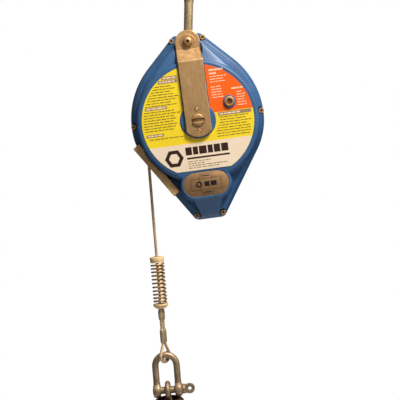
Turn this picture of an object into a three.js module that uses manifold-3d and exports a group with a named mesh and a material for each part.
// Self-retracting lifeline: a cast, two-half block that hangs on a swinging eye and pays out a
// wire rope, with a ratchet brake and a power spring inside and a snap hook on the rope's end.
// Millimetres, +Z up. The front faces -Y. The origin is the top of the suspension eye's hole,
// the point that the whole assembly hangs from.

import * as THREE from 'three';
import { ConvexGeometry } from 'three/addons/geometries/ConvexGeometry.js';
import { mergeVertices } from 'three/addons/utils/BufferGeometryUtils.js';
import Module from 'manifold-3d';

const wasm = await Module();
wasm.setup();

const DEG = Math.PI / 180;
const GAP = 0.3;                    // clearance between pieces that touch on the real block

// ---------------------------------------------------------------- driving dimensions

const eye = {
  holeR: 16.5, barR: 7, toPin: 108.98, lean: 6.127, shankR: 7.3, barrelR: 13.5, barrelHalf: 11,
};
const housing = {
  tilt: 2.7, pinToHub: 127.75, arcZ: 4.5,
  topZ: 145.4, shoulderX: -23, shoulderR: 131.5,
  bellyR: 108.5, bellyEnd: -33.5, bottomZ: -156.9,
  jointHalf: 0.8, rimY: 7, plateauY: 22, faceY: 42, faceR: 93,
  cavityR: 94.5, cavityY: 38.5, notchR: 16.5, cornerCut: 6,
};
const strap = {
  halfWidth: 20, thick: 4, lowY: 44.5, highY: 24.5, bendLow: 94.6, bendHigh: 113.6, endR: 26.5,
  dowelZ: 17.3, dowelR: 2.8,
};
const bolt = { shankR: 6, holeR: 6.3, headR: 8, headLength: 5.2, washerR: 12.8, washerThick: 2 };
const shaft = { r: 10, arborR: 20, slotHalf: 2.5, slotDepth: 4 };
const label = { r: 89, chordZ: -78, hubR: 28.5, slotHalf: 21.5, thick: 0.4 };
const capsule = {
  z: -100.8, halfLength: 40.5, halfHeight: 23.75, plateHalfLength: 36.5, plateHalfHeight: 19,
};
const plug = { x: 53.1, z: 23.2, headR: 8, ringR: 10.5, shankR: 5.7 };
const guide = {
  inner: 95.3, outer: 107.5, start: -34.7, end: 65, halfDepth: 30, slotHalf: 4.5, slotStart: -27, slotEnd: 57,
};
const drum = { flangeR: 91, coreR: 66, boreR: 62, hubR: 19, ropeHalf: 9.8, flange: 3.5, rearY: 33 };
const brake = { ringR: 93, rootR: 87.5, tipR: 80.5, teeth: 12, gapShare: 0.6, front: -28.5, back: -19.5 };
const pawl = { pivotR: 70, pinR: 4, reach: 26, lift: 3, angles: [197, 17] };
const rope = { r: 2.4, offset: 86.2, strandX: 2.7 };
const casingBolts = [
  [-104, 5.4], [104, 5.4], [-25.3, 135.2], [25.3, 135.2], [-21.3, -149.7], [21.3, -149.7],
];
const boltSeatY = 13;

// Heights on the rope, in the block's own frame.
const level = {
  topCup: -464.6, topCupEnd: -474.5, springEnd: -542, bottomCupEnd: -549.6,
  upperFerrule: -550.7, upperFerruleEnd: -568.9, lowerFerrule: -583.2, lowerFerruleEnd: -606.9,
  eyeBottom: -640, pin: -684, swivelTop: -697.5, swivelEnd: -728,
};
const buffer = { topCupR: 11.65, bottomCupR: 12.5, springR: 10.1, wireR: 1.25, turns: 11 };
const ropeEye = { meanR: 12.3, turn: 55, thimbleThick: 1, thimbleHalf: 1.5 };
const shackle = {
  play: 2.2, barR: 5.35, meanR: 17.5, earR: 11.8, innerHalf: 11.9, outerHalf: 24,
  pinR: 5.75, headX: 36, headR: 8.2,
};
const swivel = { ringR: 11.6, barR: 4.4, bodyR: 25.5, headR: 9.5, stemR: 6 };
const hook = { barR: 6.5, pivot: [13, -751], nose: [22, -788], leverPivot: [-18, -743], rivetR: 2.5 };

// ---------------------------------------------------------------- materials

const finish = (color, roughness, metalness) => (
  new THREE.MeshStandardMaterial({ color, roughness, metalness }));
const paint = finish(0x335c84, 0.45, 0.1);
const zincPlate = finish(0xb59468, 0.35, 0.9);
const forgedSteel = finish(0xa89473, 0.4, 0.9);
const galvanised = finish(0x9a8669, 0.5, 0.85);
const wireRope = finish(0xbfa78a, 0.5, 0.8);
const castCup = finish(0xead0a0, 0.5, 0.2);
const springSteel = finish(0x8d7447, 0.35, 0.9);
const darkSteel = finish(0x3e2009, 0.6, 0.5);
const film = finish(0xe8c831, 0.4, 0);
const etchedPlate = finish(0x8a6744, 0.45, 0.7);
const guideBlock = finish(0xb08a58, 0.6, 0);
const bronze = finish(0xa9743a, 0.4, 0.9);
const lining = finish(0x4a3c32, 0.9, 0);
const machined = finish(0x8f8f92, 0.35, 0.9);
const rubber = finish(0x1c1c1c, 0.8, 0);

// ---------------------------------------------------------------- solids

// A closed mesh with shared vertices, wound so that its faces point out.
function closed(geometry) {
  const bare = geometry.clone();
  bare.deleteAttribute('normal');
  bare.deleteAttribute('uv');
  const merged = mergeVertices(bare, 1e-4);
  const at = merged.getAttribute('position');
  const corners = merged.index.array;
  const kept = [];
  let volume = 0;
  const [a, b, c] = [new THREE.Vector3(), new THREE.Vector3(), new THREE.Vector3()];
  for (let i = 0; i < corners.length; i += 3) {
    const [p, q, r] = corners.subarray(i, i + 3);
    if (p === q || q === r || r === p) continue;
    kept.push([p, q, r]);
    a.fromBufferAttribute(at, p);
    b.fromBufferAttribute(at, q);
    c.fromBufferAttribute(at, r);
    volume += a.dot(b.cross(c));
  }
  const wound = volume < 0 ? kept.map(([p, q, r]) => [p, r, q]) : kept;
  merged.setIndex(wound.flat());
  return merged;
}

function toSolid(shape) {
  if (!shape.isBufferGeometry) return shape;
  const mesh = closed(shape);
  return new wasm.Manifold(new wasm.Mesh({
    numProp: 3,
    vertProperties: new Float32Array(mesh.getAttribute('position').array),
    triVerts: new Uint32Array(mesh.index.array),
  }));
}

function toGeometry(shape) {
  if (shape.isBufferGeometry) return closed(shape);
  const { vertProperties, triVerts } = shape.getMesh();
  const geometry = new THREE.BufferGeometry();
  geometry.setAttribute('position', new THREE.BufferAttribute(new Float32Array(vertProperties), 3));
  geometry.setIndex(new THREE.BufferAttribute(new Uint32Array(triVerts), 1));
  return geometry;
}

const join = (...shapes) => shapes.map(toSolid).reduce((all, next) => all.add(next));
const cut = (shape, ...tools) => (
  tools.map(toSolid).reduce((left, tool) => left.subtract(tool), toSolid(shape)));
const overlap = (one, other) => toSolid(one).intersect(toSolid(other));

function piece(name, shape, material) {
  const geometry = toGeometry(shape);
  geometry.computeVertexNormals();
  const mesh = new THREE.Mesh(geometry, material);
  mesh.name = name;
  return mesh;
}

// ---------------------------------------------------------------- shape helpers

const outlineOf = (points) => new THREE.Shape(points.map(([x, y]) => new THREE.Vector2(x, y)));

function circle(r, sides, x = 0, y = 0) {
  const points = Array.from({ length: sides }, (_, i) => {
    const angle = (2 * Math.PI * i) / sides;
    return [x + r * Math.cos(angle), y + r * Math.sin(angle)];
  });
  return outlineOf(points);
}

// A flat plate in the XZ plane, from the y nearest the back to the y nearest the front.
function plate(shape, backY, frontY, curveSegments = 10) {
  const depth = backY - frontY;
  const geometry = new THREE.ExtrudeGeometry(shape, { depth, bevelEnabled: false, curveSegments });
  return geometry.rotateX(Math.PI / 2).translate(0, backY, 0);
}

// A body of revolution about Y from [radius, y] points; the profile closes on itself or on the axis.
function turned(profile, segments = 24) {
  const points = profile.map(([r, y]) => new THREE.Vector2(r, y));
  const onAxis = profile[0][0] === 0 && profile.at(-1)[0] === 0;
  if (!onAxis) points.push(points[0].clone());
  return new THREE.LatheGeometry(points, segments);
}

const turnedZ = (profile, segments) => turned(profile, segments).rotateX(Math.PI / 2);
const ring = (innerR, outerR, fromY, toY, segments) => turned(
  [[innerR, fromY], [outerR, fromY], [outerR, toY], [innerR, toY]], segments);
const rod = (r, fromY, toY, segments = 20) => turned([[0, fromY], [r, fromY], [r, toY], [0, toY]], segments);
const rodZ = (r, fromZ, toZ, segments = 20) => rod(r, fromZ, toZ, segments).rotateX(Math.PI / 2);
const rodX = (r, fromX, toX, segments = 20) => rod(r, fromX, toX, segments).rotateZ(-Math.PI / 2);

function box(low, high) {
  const size = high.map((value, i) => value - low[i]);
  return new THREE.BoxGeometry(...size).translate(...low.map((value, i) => value + size[i] / 2));
}

function tube(curve, r, sides, steps) {
  return new THREE.ExtrudeGeometry(circle(r, sides), { steps, extrudePath: curve, bevelEnabled: false });
}

const curveThrough = (points) => new THREE.CatmullRomCurve3(points.map((p) => new THREE.Vector3(...p)));
const hexagon = (acrossFlats) => circle(acrossFlats / Math.sqrt(3), 6);
const mirrored = (geometry) => geometry.clone().scale(1, -1, 1);

// A point on the lower-left wall, at a distance out from the hub and a distance down along the wall.
const wallOut = new THREE.Vector2(-Math.cos(housing.bellyEnd * DEG), Math.sin(housing.bellyEnd * DEG));
const wallDown = new THREE.Vector2(-wallOut.y, wallOut.x);
const onWall = (out, down) => [
  wallOut.x * out + wallDown.x * down,
  wallOut.y * out + wallDown.y * down,
];

// The block's outline, drawn in by an inset: a flat top, two broad shoulders, a round belly and
// straight sides that run down to a narrow flat foot.
function housingOutline(inset = 0) {
  const { arcZ, shoulderX, cornerCut } = housing;
  const shoulderR = housing.shoulderR - inset;
  const bellyR = housing.bellyR - inset;
  const topZ = housing.topZ - inset;
  const bottomZ = housing.bottomZ + inset;
  const topX = shoulderX + arcZ + shoulderR * Math.SQRT2 - topZ;
  const side = new THREE.Vector2(-wallOut.x, wallOut.y);
  const bottomX = (side.y * arcZ + bellyR - side.y * bottomZ) / side.x;
  const shoulder = (angle) => [shoulderX + shoulderR * Math.cos(angle), arcZ + shoulderR * Math.sin(angle)];
  const belly = (angle) => [bellyR * Math.cos(angle), arcZ + bellyR * Math.sin(angle)];
  const arc = (point, from, to, count) => Array.from({ length: count + 1 }, (_, i) => (
    point((from + ((to - from) * i) / count) * DEG)));
  const half = Math.SQRT1_2;
  const right = [
    [bottomX - cornerCut * 0.7, bottomZ],
    [bottomX + cornerCut * 0.4 * -side.y, bottomZ + cornerCut * 0.4 * side.x],
    ...arc(belly, housing.bellyEnd, 0, 5),
    ...arc(shoulder, 6, 45, 5),
    [topX + cornerCut * 0.5 * half, topZ - cornerCut * 0.5 * half],
    [topX - cornerCut * 0.5, topZ],
  ];
  const left = right.map(([x, z]) => [-x, z]).reverse();
  return [...right, ...left];
}

const ringAt = (outline, y) => outline.map(([x, z]) => new THREE.Vector3(x, y, z));

// ---------------------------------------------------------------- suspension

function suspensionEye() {
  const neckZ = -(eye.holeR + 2 * eye.barR);
  const bow = new THREE.TorusGeometry(eye.holeR + eye.barR, eye.barR, 10, 28).rotateX(Math.PI / 2);
  const shank = turnedZ([
    [0, -eye.toPin], [eye.shankR, -eye.toPin], [eye.shankR, neckZ - 12], [8.6, neckZ - 2.5],
    [10, neckZ + 5], [0, neckZ + 5],
  ], 20);
  const barrel = rod(eye.barrelR, -eye.barrelHalf, eye.barrelHalf).translate(0, 0, -eye.toPin);
  const bore = rod(bolt.holeR, -30, 30).translate(0, 0, -eye.toPin);
  return cut(join(bow, shank, barrel), bore);
}

const stackOf = () => {
  const strapFace = strap.highY + strap.thick;
  const washerFace = strapFace + GAP + bolt.washerThick;
  return { strapFace, washerFace, headSeat: washerFace + GAP };
};

function suspensionBolt() {
  const { headSeat } = stackOf();
  const headEnd = headSeat + bolt.headLength;
  const head = turned([
    [0, -headSeat], [bolt.headR, -headSeat], [bolt.headR, -headSeat - 1.6],
    [bolt.headR - 2, -headEnd + 0.8], [bolt.headR - 4, -headEnd], [0, -headEnd],
  ]);
  const shank = rod(bolt.shankR, headSeat + 8.5, -headSeat - 1);
  const socket = plate(hexagon(5), -headEnd + 3.4, -headEnd - 1);
  return cut(join(head, shank), socket);
}

function suspensionNut() {
  const { strapFace } = stackOf();
  const seat = strapFace + GAP;
  const flange = rod(bolt.washerR, seat, seat + 1.8);
  const body = plate(hexagon(17), seat + 8.2, seat + 1);
  return cut(join(flange, body), rod(bolt.shankR + GAP, seat - 2, seat + 12));
}

function addSuspensionStack(group) {
  const { strapFace, washerFace } = stackOf();
  const atPin = (name, shape, material) => {
    const mesh = piece(name, shape, material);
    mesh.position.z = housing.pinToHub;
    group.add(mesh);
  };
  const spacer = ring(bolt.holeR, 11, eye.barrelHalf + GAP, strap.highY - GAP);
  atPin('suspension_bolt', suspensionBolt(), zincPlate);
  atPin('suspension_nut', suspensionNut(), zincPlate);
  atPin('bolt_washer', ring(bolt.holeR, bolt.washerR, -washerFace, -strapFace - GAP), zincPlate);
  atPin('lug_spacer_rear', spacer, machined);
  atPin('lug_spacer_front', mirrored(spacer), machined);
}

// A prism along X from its [y, z] outline.
function prismX(outline, halfX) {
  const geometry = new THREE.ExtrudeGeometry(outlineOf(outline), { depth: 2 * halfX, bevelEnabled: false });
  return geometry.translate(0, 0, -halfX).applyMatrix4(new THREE.Matrix4().set(
    0, 0, 1, 0,
    1, 0, 0, 0,
    0, 1, 0, 0,
    0, 0, 0, 1,
  ));
}

// A cranked flat bar that carries the load from the suspension bolt to the main shaft.
function loadStrap() {
  const lowOut = strap.lowY + strap.thick;
  const highOut = strap.highY + strap.thick;
  const bendShift = 1.6;
  const bar = prismX([
    [-strap.lowY, -40], [-strap.lowY, strap.bendLow], [-strap.highY, strap.bendHigh],
    [-strap.highY, 160], [-highOut, 160], [-highOut, strap.bendHigh + bendShift],
    [-lowOut, strap.bendLow + bendShift], [-lowOut, -40],
  ], strap.halfWidth + 5);
  const face = new THREE.Shape();
  const lowAngle = Math.acos(strap.halfWidth / strap.endR);
  face.absarc(0, 0, strap.endR, Math.PI + lowAngle, 2 * Math.PI - lowAngle, false);
  face.absarc(0, housing.pinToHub, strap.halfWidth, 0, Math.PI, false);
  const blank = overlap(bar, plate(face, 0, -60, 8));
  const reach = [-60, 0];
  return cut(
    blank,
    rod(shaft.r + GAP, ...reach),
    rod(bolt.holeR, ...reach).translate(0, 0, housing.pinToHub),
    ...[-1, 1].map((side) => rod(strap.dowelR + GAP, ...reach, 12).translate(0, 0, side * strap.dowelZ)),
  );
}

// ---------------------------------------------------------------- casing

const stadium = (halfLength, halfHeight, z) => {
  const shape = new THREE.Shape();
  const straight = halfLength - halfHeight;
  shape.absarc(straight, z, halfHeight, -Math.PI / 2, Math.PI / 2, false);
  shape.absarc(-straight, z, halfHeight, Math.PI / 2, 1.5 * Math.PI, false);
  return shape;
};

const stadiumRing = (halfLength, halfHeight, z, y) => (
  stadium(halfLength, halfHeight, z).getPoints(8).map((p) => new THREE.Vector3(p.x, y, p.y)));

// The round dome over the drum, grown by an allowance, from a back y to its face.
function drumDome(grow, backY) {
  const { faceY, faceR } = housing;
  return turned([
    [0, backY], [103 + grow, backY], [103 + grow, -10], [98.6 + grow, -29], [97.4 + grow, -37],
    [96.2 + grow, -faceY + 1.2], [faceR + grow, -faceY], [0, -faceY],
  ], 44);
}

function casingBlank() {
  const { jointHalf, rimY, plateauY, faceY } = housing;
  const wall = new ConvexGeometry([
    ...ringAt(housingOutline(0), -jointHalf), ...ringAt(housingOutline(0), -rimY),
    ...ringAt(housingOutline(5), -plateauY + 3), ...ringAt(housingOutline(9), -plateauY),
  ]);
  const dome = drumDome(0, -jointHalf);
  const upperHalf = (points) => points.filter((p) => p.z > 20);
  const shoulderRing = circle(99, 44).getPoints().map((p) => new THREE.Vector3(p.x, -33, p.y));
  const shoulders = new ConvexGeometry([
    ...upperHalf(shoulderRing), ...upperHalf(ringAt(housingOutline(13), -plateauY - 1)),
    ...upperHalf(ringAt(housingOutline(13), -rimY)),
  ]);
  const hubBoss = rod(28.2, -faceY + 4, -strap.lowY + GAP, 28);
  return { wall, dome, shoulders, hubBoss };
}

const alongWall = (inner, outer, start, end) => outlineOf([
  onWall(inner, start), onWall(inner, end), onWall(outer, end), onWall(outer, start),
]);

// The rope guide's seat outside the dome, and the window that lets the rope through to the drum.
function guidePockets() {
  const { inner, outer, start, end, halfDepth, slotHalf, slotStart } = guide;
  const seat = plate(alongWall(inner - GAP, outer + 10, start - GAP, end + GAP), 2, -halfDepth - GAP);
  const window = plate(alongWall(inner - 8, outer + 10, slotStart, 14), 2, -slotHalf);
  return [cut(seat, drumDome(0, 3)), window];
}

function commonCuts() {
  const { notchR, pinToHub, cavityR, cavityY, topZ } = housing;
  const cavity = turned([
    [0, 2], [cavityR, 2], [cavityR, -cavityY + 3], [cavityR - 3, -cavityY], [0, -cavityY],
  ], 44);
  const notch = join(
    rod(notchR, -60, 2, 24).translate(0, 0, pinToHub),
    box([-notchR, -60, pinToHub], [notchR, 2, topZ + 10]),
  );
  const strapRoom = 0.6;
  const strapRecess = prismX([
    [-80, strap.bendLow - 1], [-strap.lowY + strapRoom, strap.bendLow - 1],
    [-strap.highY + strapRoom, strap.bendHigh - 1], [-strap.highY + strapRoom, 170], [-80, 170],
  ], strap.halfWidth + 1.5);
  return [cavity, notch, strapRecess, ...guidePockets(), rod(shaft.r + GAP, -60, 2)];
}

function frontCasing() {
  const { wall, dome, shoulders, hubBoss } = casingBlank();
  const { faceY, plateauY } = housing;
  const { z, halfLength, halfHeight, plateHalfLength, plateHalfHeight } = capsule;
  const boss = new ConvexGeometry([
    ...stadiumRing(halfLength, halfHeight, z, -faceY + 1.5),
    ...stadiumRing(halfLength - 1.5, halfHeight - 1.5, z, -faceY),
    ...stadiumRing(halfLength + 3, halfHeight + 3, z, -plateauY + 4),
  ]);
  const beak = new ConvexGeometry([-1, 1].flatMap((side) => [
    new THREE.Vector3(side * 24, -faceY + 3, z - halfHeight + 3),
    new THREE.Vector3(side * 30, -10, z - halfHeight + 6),
    new THREE.Vector3(side * 13, -plateauY + 1, -151),
    new THREE.Vector3(side * 13, -10, -151),
  ]));
  const topLugs = box([-40, -60, 129.3], [40, -boltSeatY, housing.topZ + 10]);
  const plugRing = rod(plug.ringR - 0.5, -faceY + 2, -faceY - 1, 24).translate(plug.x, 0, plug.z);
  const boltTools = casingBolts.flatMap(([x, boltZ]) => [
    rod(2.8, -30, 2, 10).translate(x, 0, boltZ),
    rod(6, -boltSeatY - 40, -boltSeatY, 12).translate(x, 0, boltZ),
  ]);
  return cut(
    join(wall, dome, shoulders, hubBoss, boss, beak, plugRing),
    ...commonCuts(),
    ...boltTools,
    topLugs,
    plate(stadium(plateHalfLength + 0.5, plateHalfHeight + 0.5, z), -faceY + 1.4, -faceY - 5, 10),
    rod(plug.shankR + GAP, -60, -30, 20).translate(plug.x, 0, plug.z),
    ...[-1, 1].map((side) => (
      rod(strap.dowelR + GAP, -60, -faceY + 2, 12).translate(0, 0, side * strap.dowelZ))),
  );
}

function rearCasing() {
  const { wall, dome, shoulders, hubBoss } = casingBlank();
  const rear = cut(
    join(wall, dome, shoulders, hubBoss),
    ...commonCuts(),
    ...casingBolts.map(([x, z]) => rod(2.8, -14, 2, 10).translate(x, 0, z)),
  );
  return mirrored(toGeometry(rear));
}

function casingGasket() {
  const sheet = plate(outlineOf(housingOutline(0.5)), 0.5, -0.5);
  const { notchR, pinToHub, topZ, cavityR } = housing;
  return cut(
    sheet,
    rod(cavityR, -5, 5, 44),
    rod(notchR, -5, 5, 24).translate(0, 0, pinToHub),
    box([-notchR, -5, pinToHub], [notchR, 5, topZ + 10]),
    ...guidePockets(),
    ...casingBolts.map(([x, z]) => rod(2.8, -5, 5, 10).translate(x, 0, z)),
  );
}

function casingBolt() {
  const seat = -boltSeatY - GAP;
  const screw = join(rod(4.25, seat, seat - 5, 12), rod(2.4, seat - 1, 11, 8));
  return cut(screw, plate(hexagon(4), seat - 2.5, seat - 6));
}

function frontLabel() {
  const { faceY } = housing;
  const sheet = rod(label.r, -faceY - GAP, -faceY - GAP - label.thick, 48);
  return cut(
    sheet,
    box([-label.r - 5, -60, -label.r - 5], [label.r + 5, 0, label.chordZ]),
    box([-label.slotHalf, -60, 0], [label.slotHalf, 0, label.r + 5]),
    rod(label.hubR, -60, 0, 28),
    rod(plug.ringR, -60, 0, 24).translate(plug.x, 0, plug.z),
  );
}

function accessPlug() {
  const seat = -housing.faceY - 1 - GAP;
  const head = turned([
    [0, seat], [plug.headR, seat], [plug.headR, seat - 2.4], [plug.headR - 1, seat - 3.4], [0, seat - 3.4],
  ]);
  const body = join(head, rod(plug.shankR, seat - 1, -housing.cavityY - GAP, 20));
  return cut(body, plate(hexagon(8.4), seat + 3, seat - 6)).translate([plug.x, 0, plug.z]);
}

// The rope leaves through a long slot, so that it can cross the wall at a slant.
function ropeGuide() {
  const { inner, outer, start, end, halfDepth, slotHalf, slotStart, slotEnd } = guide;
  const corner = 2;
  const block = plate(outlineOf([
    onWall(inner, start), onWall(inner, end), onWall(outer - corner, end), onWall(outer, end - corner),
    onWall(outer, start + corner), onWall(outer - corner, start),
  ]), halfDepth, -halfDepth);
  const flare = 2.2;
  const slot = plate(alongWall(inner - 3, outer + 3, slotStart, slotEnd), slotHalf, -slotHalf);
  const mouth = (out, half, spread) => [-half, half].flatMap((y) => (
    [onWall(out, slotStart - spread), onWall(out, slotEnd + spread)].map(([x, z]) => (
      new THREE.Vector3(x, y, z)))));
  const lip = new ConvexGeometry([
    ...mouth(outer - flare, slotHalf - 0.1, 0),
    ...mouth(outer + 1, slotHalf + flare + 0.9, flare + 1),
  ]);
  const dome = drumDome(0.4, 0);
  return cut(block, dome, mirrored(dome), slot, lip);
}

// ---------------------------------------------------------------- drum, brake and power spring

function mainShaft() {
  const frontY = -strap.lowY - strap.thick - 1.5;
  const rearY = strap.lowY + strap.thick - 0.5;
  const body = turned([
    [0, frontY], [shaft.r - 1, frontY], [shaft.r, frontY + 1], [shaft.r, 10.5], [shaft.arborR, 10.5],
    [shaft.arborR, 32], [shaft.r, 32], [shaft.r, rearY], [0, rearY],
  ]);
  const slotEnd = shaft.r + 1;
  return cut(body, box(
    [-slotEnd, frontY - 1, -shaft.slotHalf],
    [slotEnd, frontY + shaft.slotDepth, shaft.slotHalf],
  ));
}

function drumBody() {
  const { flangeR, coreR, boreR, hubR, ropeHalf, flange, rearY } = drum;
  const edge = ropeHalf + flange;
  return turned([
    [14.3, -11], [hubR, -11], [hubR, 4.5], [boreR, 4.5], [boreR, -edge], [flangeR, -edge],
    [flangeR, -ropeHalf], [coreR, -ropeHalf], [coreR, ropeHalf], [flangeR, ropeHalf], [flangeR, edge],
    [coreR, edge],
    [coreR, rearY], [boreR, rearY], [boreR, 9.5], [14.3, 9.5],
  ], 32);
}

function powerSpring() {
  const [innerR, outerR, turns, thick, perTurn] = [22.5, 59.5, 5, 1.4, 14];
  const spiral = (offset) => Array.from({ length: turns * perTurn + 1 }, (_, i) => {
    const angle = (2 * Math.PI * i) / perTurn;
    const r = innerR + ((outerR - innerR) * i) / (turns * perTurn) + offset;
    return [r * Math.cos(angle), r * Math.sin(angle)];
  });
  return plate(outlineOf([...spiral(thick / 2), ...spiral(-thick / 2).reverse()]), 31, 12);
}

// An internal ratchet whose wide gaps catch the pawls; it slips between the linings in a fall.
function ratchetRing() {
  const { ringR, rootR, tipR, teeth, gapShare, front, back } = brake;
  const pitch = 360 / teeth;
  const inner = [];
  for (let tooth = 0; tooth < teeth; tooth += 1) {
    const start = (tooth - gapShare / 2) * pitch;
    const arc = (r, from, to, count) => {
      for (let i = 0; i <= count; i += 1) {
        const angle = (start + (from + ((to - from) * i) / count) * pitch) * DEG;
        inner.push(new THREE.Vector2(r * Math.cos(angle), r * Math.sin(angle)));
      }
    };
    arc(rootR, 0.02, gapShare - 0.02, 2);
    arc(tipR, gapShare + 0.02, 0.98, 1);
  }
  const shape = circle(ringR, 32);
  shape.holes.push(new THREE.Path(inner));
  return plate(shape, back, front);
}

function discSpring() {
  return turned([[64, -35.9], [64, -34.6], [88, -36.8], [88, -38.1]], 32);
}

// A pawl about its own pivot; its nose points along +Z when the pivot lies on +X.
function pawlArm() {
  const { pinR, reach, lift } = pawl;
  const arm = outlineOf([
    [-6.5, -5], [-2, -7.5], [4, -6], [lift + 1.6, reach - 6], [lift + 2, reach + 1.2],
    [lift - 2, reach + 1.6], [lift - 5, reach - 8], [-6, 5],
  ]);
  return cut(plate(arm, -20.5, -27.5), rod(pinR + GAP, -40, 0, 20));
}

function addDrum(group) {
  const { ropeHalf, flange, coreR, rearY } = drum;
  const { ringR, tipR, front, back } = brake;
  const add = (name, shape, material) => group.add(piece(name, shape, material));
  const circlip = cut(ring(shaft.r + 0.1, 14.5, -13.9, -12.4, 28), box([0, -20, -3], [20, 0, 3]));
  const wound = ring(coreR + GAP, rope.offset - rope.r - GAP, -ropeHalf + 0.4, ropeHalf - 0.4, 32);
  add('main_shaft', mainShaft(), zincPlate);
  add('shaft_circlip', circlip, springSteel);
  add('drum', drumBody(), machined);
  add('drum_bush_front', ring(shaft.r + 0.2, 14, -11.6, -2), bronze);
  add('drum_bush_rear', ring(shaft.r + 0.2, 14, -1, 9.2), bronze);
  add('rope_on_drum', wound, wireRope);
  add('power_spring', powerSpring(), springSteel);
  add('spring_cover', ring(22, coreR, rearY + GAP, rearY + 2.3, 32), zincPlate);
  add('ratchet_ring', ratchetRing(), machined);
  add('friction_disc_rear', ring(tipR, ringR, back + GAP, -16.9, 32), lining);
  add('friction_disc_front', ring(tipR, ringR, -31.1, front - GAP, 32), lining);
  add('brake_retaining_ring', ring(83, 94, -16.6, -14.6, 32), springSteel);
  add('brake_pressure_plate', ring(62, 92, -34.2, -31.4, 32), machined);
  add('brake_disc_spring', discSpring(), springSteel);
  pawl.angles.forEach((angle, i) => {
    const [x, z] = [Math.cos(angle * DEG), Math.sin(angle * DEG)];
    const pawlPin = rod(pawl.pinR, -ropeHalf - flange - GAP, -28.2, 20);
    for (const mesh of [
      piece(`pawl_pin_${i + 1}`, pawlPin, machined),
      piece(`pawl_${i + 1}`, pawlArm(), machined),
    ]) {
      mesh.position.set(pawl.pivotR * x, 0, pawl.pivotR * z);
      mesh.rotation.y = -angle * DEG;
      group.add(mesh);
    }
  });
}

// ---------------------------------------------------------------- housing group

function buildHousing(hub, tilt) {
  const group = new THREE.Group();
  group.position.copy(hub);
  group.rotation.y = -tilt;
  group.add(piece('front_casing', frontCasing(), paint));
  group.add(piece('rear_casing', rearCasing(), paint));
  group.add(piece('casing_gasket', casingGasket(), rubber));
  const frontStrap = loadStrap();
  group.add(piece('front_strap', frontStrap, zincPlate));
  group.add(piece('rear_strap', mirrored(toGeometry(frontStrap)), zincPlate));
  group.add(piece('front_label', frontLabel(), film));
  const plateShape = stadium(capsule.plateHalfLength, capsule.plateHalfHeight, capsule.z);
  group.add(piece('nameplate', plate(plateShape, -housing.faceY + 1.1, -housing.faceY), etchedPlate));
  group.add(piece('access_plug', accessPlug(), zincPlate));
  group.add(piece('rope_guide', ropeGuide(), guideBlock));
  casingBolts.forEach(([x, z], i) => {
    const mesh = piece(`casing_bolt_${i + 1}`, casingBolt(), zincPlate);
    mesh.position.set(x, 0, z);
    group.add(mesh);
  });
  const dowel = rod(strap.dowelR, -strap.lowY - strap.thick - GAP, -housing.faceY + 1.7, 16);
  [-1, 1].forEach((side, i) => {
    const mesh = piece(`strap_dowel_${i + 1}`, dowel, zincPlate);
    mesh.position.z = side * strap.dowelZ;
    group.add(mesh);
  });
  addSuspensionStack(group);
  addDrum(group);
  return group;
}

// ---------------------------------------------------------------- rope end

function bufferCup(z, endZ, r, rimZ) {
  const bore = rope.strandX + rope.r + 0.7;
  const profile = [[bore, z], [r - 2, z], [r, z + (rimZ - z) * 0.4], [r, endZ], [bore, endZ]];
  return turnedZ(profile, 20);
}

class Helix extends THREE.Curve {
  constructor(r, z, endZ, turns) {
    super();
    Object.assign(this, { r, z, endZ, turns });
  }

  getPoint(t, target = new THREE.Vector3()) {
    const angle = 2 * Math.PI * this.turns * t;
    return target.set(this.r * Math.cos(angle), -this.r * Math.sin(angle), this.z + (this.endZ - this.z) * t);
  }
}

// Half the rope eye's shape, from the lower ferrule down to the middle of its round bottom.
function eyeSide(inset) {
  const centreZ = level.eyeBottom + rope.r + ropeEye.meanR;
  const r = ropeEye.meanR - inset;
  const points = [];
  for (let angle = 10; angle < 90; angle += 16) {
    points.push([r * Math.cos(angle * DEG), centreZ - r * Math.sin(angle * DEG)]);
  }
  return points;
}

function ropeEyeRoute() {
  const { strandX } = rope;
  const down = eyeSide(0);
  const live = [
    [0, level.topCup - 0.2], [0, level.topCup - 32], [0, level.springEnd + 26], [-0.3, level.springEnd + 14],
    [-strandX + 0.2, level.springEnd - 2], [-strandX, level.upperFerrule],
    [-strandX, level.upperFerruleEnd], [-strandX, level.lowerFerrule],
    [-strandX, level.lowerFerruleEnd], [-strandX - 2.6, level.lowerFerruleEnd - 6],
    ...down.map(([x, z]) => [-x, z]),
  ];
  const dead = [
    ...down.reverse(), [strandX + 2.6, level.lowerFerruleEnd - 6], [strandX, level.lowerFerruleEnd],
    [strandX, level.lowerFerrule], [strandX, level.upperFerruleEnd], [strandX, level.upperFerrule + 1],
  ];
  const bottom = [0, level.eyeBottom + rope.r];
  return curveThrough([...live, bottom, ...dead].map(([x, z]) => [x, 0, z]));
}

function ferrule(z, endZ) {
  const bore = rope.r + 0.3;
  const outer = plate(stadium(rope.strandX + bore + 1.1, bore + 1.1, 0), z, endZ, 6).rotateX(-Math.PI / 2);
  const inner = plate(stadium(rope.strandX + bore, bore, 0), z + 5, endZ - 5, 6).rotateX(-Math.PI / 2);
  return cut(outer.rotateX(Math.PI), inner.rotateX(Math.PI));
}

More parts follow.
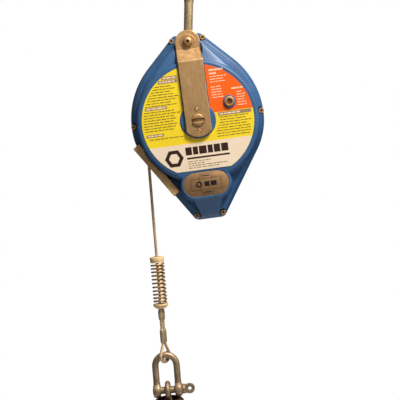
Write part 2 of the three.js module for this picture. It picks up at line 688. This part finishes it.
// A grooved liner, shown as the band that backs the rope round the eye.
function thimble() {
  const inset = rope.r + GAP + ropeEye.thimbleThick / 2;
  const down = eyeSide(inset);
  const top = [[ropeEye.meanR - inset - 4.1, level.eyeBottom + rope.r + ropeEye.meanR + 4.5]];
  const side = [...top, ...down];
  const route = curveThrough([
    ...side.map(([x, z]) => [-x, 0, z]), [0, 0, level.eyeBottom + rope.r + inset],
    ...side.reverse().map(([x, z]) => [x, 0, z]),
  ]);
  const [halfWide, halfThick] = [ropeEye.thimbleHalf, ropeEye.thimbleThick / 2];
  const section = outlineOf([
    [-halfWide, -halfThick], [halfWide, -halfThick], [halfWide, halfThick], [-halfWide, halfThick],
  ]);
  return new THREE.ExtrudeGeometry(section, { steps: 22, extrudePath: route, bevelEnabled: false });
}

function shackleBow() {
  const thimbleTop = level.eyeBottom + 2 * rope.r + GAP + ropeEye.thimbleThick;
  const crownZ = thimbleTop + shackle.play + shackle.barR;
  const centreZ = crownZ - shackle.meanR;
  const points = [[-shackle.meanR, level.pin], [-shackle.meanR, (level.pin + centreZ) / 2]];
  for (let angle = 180; angle >= 0; angle -= 15) {
    points.push([shackle.meanR * Math.cos(angle * DEG), centreZ + shackle.meanR * Math.sin(angle * DEG)]);
  }
  points.push([shackle.meanR, (level.pin + centreZ) / 2], [shackle.meanR, level.pin]);
  const bar = tube(curveThrough(points.map(([x, z]) => [x, 0, z])), shackle.barR, 10, 26);
  const ears = [-1, 1].map((side) => (
    rodX(shackle.earR, side * shackle.innerHalf, side * shackle.outerHalf).translate(0, 0, level.pin)));
  const bore = rodX(shackle.pinR + GAP, -40, 40).translate(0, 0, level.pin);
  return cut(join(bar, ...ears), bore);
}

function shacklePin() {
  const { pinR, outerHalf, headX, headR } = shackle;
  const shank = rodX(pinR, -outerHalf - 1, outerHalf + 3);
  const collar = rodX(8, outerHalf + GAP, outerHalf + 4.5);
  const tab = join(
    rod(headR, -2.6, 2.6).translate(headX, 0, 0),
    box([outerHalf + 3, -2.6, -6.2], [headX, 2.6, 6.2]),
  );
  const hole = rod(3, -10, 10, 16).translate(headX, 0, 0);
  return cut(join(shank, collar, tab), hole).translate([0, 0, level.pin]);
}

// ---------------------------------------------------------------- swivel and snap hook

function swivelEye() {
  const drop = swivel.ringR - swivel.barR - shackle.pinR - GAP;
  const centreZ = level.pin - drop;
  const bow = new THREE.TorusGeometry(swivel.ringR, swivel.barR, 8, 22).rotateY(Math.PI / 2);
  return join(bow.translate(0, 0, centreZ), rodZ(swivel.stemR, centreZ - swivel.ringR, level.swivelTop - 11));
}

function swivelHousing() {
  const { bodyR, headR, stemR } = swivel;
  const { swivelTop, swivelEnd } = level;
  const pocketR = 17.5;
  return turnedZ([
    [stemR + GAP, swivelTop - 6.5], [pocketR, swivelTop - 6.5], [pocketR, swivelTop - 0.6],
    [pocketR + 2, swivelTop],
    [bodyR - 2, swivelTop - 3.5], [bodyR, swivelTop - 8], [bodyR, swivelEnd + 10], [bodyR - 5, swivelEnd],
    [stemR + GAP, swivelEnd], [stemR + GAP, swivelEnd + 8], [headR + GAP, swivelEnd + 8],
    [headR + GAP, swivelTop - 12], [stemR + GAP, swivelTop - 12],
  ], 22);
}

function hookBody() {
  const { swivelEnd, swivelTop } = level;
  const route = curveThrough([
    [-8, 0, swivelEnd - 12], [-17, 0, -752], [-20, 0, -768], [-20, 0, -786], [-17.5, 0, -804],
    [-9, 0, -819], [3, 0, -824.5], [15, 0, -819.5], [22, 0, -807], [hook.nose[0] + 0.6, 0, hook.nose[1] - 6],
  ]);
  const bow = tube(route, hook.barR, 8, 20);
  const stem = rodZ(swivel.stemR, swivelEnd - 8, swivelTop - 16, 20);
  const head = rodZ(swivel.headR, swivelEnd + 8.5, swivelTop - 14, 20);
  const shoulder = plate(outlineOf([
    [-8, -731], [8, -731], [19, -743], [20, -754], [14, -759], [-12, -762], [-24, -752],
    [-24, -740], [-16, -735],
  ]), 9, -9);
  const gateSlot = box([-3, -5.3, -775], [30, 5.3, -740]);
  const leverSlot = plate(outlineOf([
    [-40, -730], [-11.5, -730], [-11.5, -750], [-22, -756], [-27.5, -775], [-40, -775],
  ]), 4.3, -4.3);
  const rivets = [hook.pivot, hook.leverPivot].map(([x, z]) => (
    rod(hook.rivetR + GAP, -20, 20, 16).translate(x, 0, z)));
  return cut(join(bow, stem, head, shoulder), gateSlot, leverSlot, ...rivets);
}

function hookGate() {
  const [[x, z], [noseX, noseZ]] = [hook.pivot, hook.nose];
  const barrel = rod(5.5, -5, 5, 20).translate(x, 0, z);
  const arm = plate(outlineOf([
    [x - 3.6, z], [x + 4.6, z - 1], [noseX + 5.4, noseZ + 2], [noseX + 5, noseZ],
    [noseX - 4.2, noseZ], [noseX - 4.8, noseZ + 3],
  ]), 5, -5);
  return cut(join(barrel, arm), rod(hook.rivetR + GAP, -20, 20, 16).translate(x, 0, z));
}

function lockLever() {
  const [x, z] = hook.leverPivot;
  const barrel = rod(5, -4, 4, 20).translate(x, 0, z);
  const arm = plate(outlineOf([
    [x - 3, z + 3.4], [x - 12, z - 5], [x - 18.4, z - 18], [x - 19.4, z - 44], [x - 15.6, z - 45],
    [x - 14.8, z - 19], [x - 9, z - 8], [x + 2, z - 4],
  ]), 4, -4);
  return cut(join(barrel, arm), rod(hook.rivetR + GAP, -20, 20, 16).translate(x, 0, z));
}

const hookRivet = ([x, z]) => rod(hook.rivetR, -9.6, 9.6, 16).translate(x, 0, z);

// ---------------------------------------------------------------- rope and hook group

function buildLine(ropeX, exitZ, tangentZ) {
  const group = new THREE.Group();
  group.position.x = ropeX;
  const add = (name, shape, material) => group.add(piece(name, shape, material));
  const straight = (fromZ, toZ) => (
    curveThrough([[0, 0, fromZ], [0, 0, (fromZ + toZ) / 2], [0, 0, toZ]]));
  const { topCup, topCupEnd, springEnd, bottomCupEnd } = level;
  const { topCupR, bottomCupR, springR, wireR, turns } = buffer;
  const coil = new Helix(springR, topCupEnd - wireR - GAP, springEnd + wireR + GAP, turns);
  add('rope_inner_run', tube(straight(tangentZ, exitZ + GAP), rope.r, 8, 6), wireRope);
  add('lifeline_rope', tube(straight(exitZ, topCup + GAP), rope.r, 8, 12), wireRope);
  add('buffer_top_cup', bufferCup(topCup, topCupEnd, topCupR, topCupEnd), castCup);
  add('buffer_bottom_cup', bufferCup(bottomCupEnd, springEnd, bottomCupR, springEnd), castCup);
  add('buffer_spring', tube(coil, wireR, 5, turns * 10), springSteel);
  const end = new THREE.Group();
  end.rotation.z = ropeEye.turn * DEG;
  end.add(piece('rope_eye', tube(ropeEyeRoute(), rope.r, 8, 56), wireRope));
  end.add(piece('thimble', thimble(), galvanised));
  end.add(piece('upper_ferrule', ferrule(level.upperFerrule, level.upperFerruleEnd), forgedSteel));
  end.add(piece('lower_ferrule', ferrule(level.lowerFerrule, level.lowerFerruleEnd), forgedSteel));
  group.add(end);
  add('shackle_bow', shackleBow(), galvanised);
  add('shackle_pin', shacklePin(), galvanised);
  add('swivel_eye', swivelEye(), galvanised);
  add('swivel_housing', swivelHousing(), darkSteel);
  add('hook_body', hookBody(), darkSteel);
  add('hook_gate', hookGate(), galvanised);
  add('lock_lever', lockLever(), galvanised);
  add('gate_rivet', hookRivet(hook.pivot), machined);
  add('lock_rivet', hookRivet(hook.leverPivot), machined);
  return group;
}

// ---------------------------------------------------------------- assembly

const lean = eye.lean * DEG;
const tilt = housing.tilt * DEG;
const pin = new THREE.Vector3(-eye.toPin * Math.sin(lean), 0, -eye.holeR - eye.toPin * Math.cos(lean));
const hub = new THREE.Vector3(
  pin.x + housing.pinToHub * Math.sin(tilt),
  0,
  pin.z - housing.pinToHub * Math.cos(tilt),
);
const ropeX = hub.x - rope.offset;

// The rope hangs straight down from the drum and crosses the guide's outer face here.
const outRate = -wallOut.x * Math.sin(tilt) - wallOut.y * Math.cos(tilt);
const outAtHub = rope.offset * (-wallOut.x * Math.cos(tilt) + wallOut.y * Math.sin(tilt));
const exitZ = hub.z - (guide.outer - outAtHub) / outRate;

const lifeline = new THREE.Group();
const suspension = piece('suspension_eye', suspensionEye(), forgedSteel);
suspension.position.z = -eye.holeR;
suspension.rotation.y = lean;
lifeline.add(suspension, buildHousing(hub, tilt), buildLine(ropeX, exitZ, hub.z));

export default lifeline;
